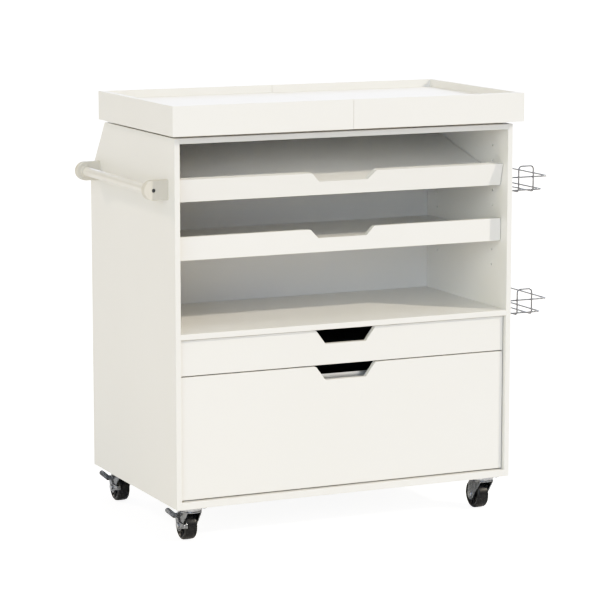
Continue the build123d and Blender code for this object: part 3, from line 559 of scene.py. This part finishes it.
# Half of the wheel's section, as (out from the middle, radius): bore, hub face, web, rounded shoulder,
# tread and the parting line round its middle.
half_section = [
    (0.0140, 0.00405), (0.0140, 0.0090), (0.0134, 0.0100), (0.0110, 0.0108), (0.0110, 0.0226),
    (0.0132, 0.0240), (0.0139, 0.0250), (0.0140, 0.0268), (0.0138, 0.0284), (0.0131, 0.0299),
    (0.0119, 0.0311),
    (0.0104, 0.0317), (0.0092, 0.03185), (0.0088, 0.0314), (0.0084, 0.03190), (0.0040, 0.0320),
]
wheel_section = half_section + [(-along, radius) for along, radius in reversed(half_section)]
rib_offset = 0.0116
fork_ease, lever_ease = 0.0006, 0.0003
for corner in ("front_left", "front_right", "rear_left", "rear_right"):
    low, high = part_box(f"caster_wheel_{corner}")
    centre = (low + high) / 2
    wheel = turned(wheel_section, centre, "X", 72)
    ribs_made = grown(bpy.data.meshes.new("rib_start"), rib_tree, rib_inputs, {
        "Count": rib_count, "Ring radius": rib_ring_radius, "Rib size": rib_size, "Finish": black_tread,
    })
    part = bpy.data.meshes.new("ribs")
    ribs_made.to_mesh(part)
    ribs_made.free()
    for side in (-1, 1):
        stood = part.copy()
        face_middle = centre + Vector((side * rib_offset, 0, 0))
        stood.transform(Matrix.Translation(face_middle) @ Matrix.Rotation(math.pi / 2, 4, "Y"))
        wheel.from_mesh(stood)
        bpy.data.meshes.remove(stood)
    bpy.data.meshes.remove(part)
    add_piece(
        f"wheel_{corner}_moulded", wheel, black_tread, f"wheel_{corner}",
        (f"caster_wheel_{corner}",), 32,
    )
    fork_node = f"caster_fork_{corner}"
    fork = eased_copy(fork_node, fork_ease)
    add_piece(f"fork_{corner}_pressed", fork, pressed_painted_dark, f"swivel_{corner}", (fork_node,))
for corner in ("front_left", "rear_left"):
    lever_node = f"brake_lever_{corner}"
    lever = eased_copy(lever_node, lever_ease)
    add_piece(f"lever_{corner}_pressed", lever, pressed_painted_dark, f"brake_{corner}", (lever_node,))

# ---- Studio --------------------------------------------------------------------------------------
# A white floor and a white open view, clear from below. A crisp key stands at the front right, wide
# weak lights stand round the other sides, and polished metal sees a darker room than the boards do.
studio_reach = 60.0
floor_drop = 0.0005
floor_corners = [(x * studio_reach, y * studio_reach, 0) for x, y in ((-1, -1), (1, -1), (1, 1), (-1, 1))]
floor_mesh = bpy.data.meshes.new("studio_floor")
floor_mesh.from_pydata(floor_corners, [], [(0, 1, 2, 3)])
floor = bpy.data.objects.new("studio_floor", floor_mesh)
bpy.context.scene.collection.objects.link(floor)
floor.location.z = cad_low.z - floor_drop
pale, tree, shader = new_finish("pale_floor", specular=0.1)
shader.inputs["Base Color"].default_value = (0.9, 0.9, 0.9, 1)
shader.inputs["Roughness"].default_value = 0.9
rays = tree.nodes.new("ShaderNodeLightPath")
glow = tree.nodes.new("ShaderNodeEmission")
glow.inputs["Color"].default_value = (1, 1, 1, 1)
glow.inputs["Strength"].default_value = 0.62
both = tree.nodes.new("ShaderNodeAddShader")
choice = tree.nodes.new("ShaderNodeMixShader")
below = tree.nodes.new("ShaderNodeNewGeometry")
clear = tree.nodes.new("ShaderNodeBsdfTransparent")
under = tree.nodes.new("ShaderNodeMixShader")
link_all(tree, (
    (shader, "BSDF", both, 0),
    (glow, "Emission", both, 1),
    (rays, "Is Camera Ray", choice, "Fac"),
    (shader, "BSDF", choice, 1),
    (both, "Shader", choice, 2),
    (below, "Backfacing", under, "Fac"),
    (choice, "Shader", under, 1),
    (clear, "BSDF", under, 2),
    (under, "Shader", tree.nodes["Material Output"], "Surface"),
))
floor_mesh.materials.append(pale)
floor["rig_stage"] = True

world = bpy.data.worlds.new("soft_studio")
bpy.context.scene.world = world
world.use_nodes = True
tree = world.node_tree
background = tree.nodes["Background"]
background.inputs["Strength"].default_value = 1.0
direction = tree.nodes.new("ShaderNodeTexCoord")
split = tree.nodes.new("ShaderNodeSeparateXYZ")
dome = tree.nodes.new("ShaderNodeValToRGB")
room = tree.nodes.new("ShaderNodeValToRGB")
for ramp, stops in (
    (dome, ((0.0, (0.12, 0.125, 0.13)), (1.0, (0.14, 0.14, 0.14)))),
    (room, ((0.10, (0.06, 0.06, 0.065)), (0.70, (0.95, 0.95, 0.95)))),
):
    for stop, (place, colour) in zip(ramp.color_ramp.elements, stops):
        stop.position = place
        stop.color = (*colour, 1)
rays = tree.nodes.new("ShaderNodeLightPath")
seen = tree.nodes.new("ShaderNodeMix")
seen.data_type = "RGBA"
open_view = tree.nodes.new("ShaderNodeBackground")
open_view.inputs["Color"].default_value = (1, 1, 1, 1)
either = tree.nodes.new("ShaderNodeMixShader")
link_all(tree, (
    (direction, "Generated", split, "Vector"),
    (split, "Z", dome, "Fac"),
    (split, "Z", room, "Fac"),
    (rays, "Is Glossy Ray", seen, "Factor"),
    (rays, "Is Camera Ray", either, "Fac"),
    (background, "Background", either, 1),
    (open_view, "Background", either, 2),
    (either, "Shader", tree.nodes["World Output"], "Surface"),
))
tree.links.new(dome.outputs["Color"], of_kind(seen.inputs, "A", "RGBA"))
tree.links.new(room.outputs["Color"], of_kind(seen.inputs, "B", "RGBA"))
tree.links.new(of_kind(seen.outputs, "Result", "RGBA"), background.inputs["Color"])


def sun(name, strength, colour, way, height, spread):
    """A far light from a way round (0 is the front, positive to the right) and a height, in degrees."""
    light = bpy.data.lights.new(name, "SUN")
    light.energy = strength
    light.color = colour
    light.angle = math.radians(spread)
    holder = bpy.data.objects.new(name, light)
    bpy.context.scene.collection.objects.link(holder)
    way, height = math.radians(way), math.radians(height)
    source = Vector((
        math.sin(way) * math.cos(height), -math.cos(way) * math.cos(height), math.sin(height)
    ))
    holder.rotation_mode = "QUATERNION"
    holder.rotation_quaternion = source.to_track_quat("Z", "Y")


sun("key", 1.49, (1.0, 0.899, 0.738), 46, 29, 3.0)
sun("warm_left", 0.49, (1.0, 0.878, 0.367), -62, 12, 40.0)
sun("cool_front_left", 1.02, (0.588, 0.725, 1.0), -38, 11, 50.0)
sun("high_left", 0.60, (1.0, 0.85, 0.667), -140, 38, 8.0)
sun("overhead", 0.40, (1.0, 0.975, 0.925), 0, 76, 40.0)
sun("behind", 0.52, (0.692, 0.788, 1.0), 150, 24, 40.0)

# The camera stands at the front left, above the trays, and looks down a little through a long lens.
camera = bpy.data.cameras.new("camera")
camera.sensor_width = 36
camera.lens = 162.18
camera.clip_start, camera.clip_end = 0.1, 200
camera_object = bpy.data.objects.new("camera", camera)
bpy.context.scene.collection.objects.link(camera_object)
camera_object.location = (-2.5407, -5.4399, 1.4309)
yaw, pitch = 0.43132, 0.15863
camera_object.rotation_mode = "QUATERNION"
aim = Vector((math.sin(yaw) * math.cos(pitch), math.cos(yaw) * math.cos(pitch), -math.sin(pitch)))
camera_object.rotation_quaternion = aim.to_track_quat("-Z", "Y")
bpy.context.scene.camera = camera_object

# The print curve lifts the middle tones and rolls off before white; index 3 is the combined curve.
display = bpy.context.scene.view_settings
display.view_transform = "Standard"
display.use_curve_mapping = True
print_curve = display.curve_mapping.curves[3]
for light in (0.25, 0.5, 0.75):
    print_curve.points.new(light, 1 - (1 - light) ** 2)
display.curve_mapping.update()

low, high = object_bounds()
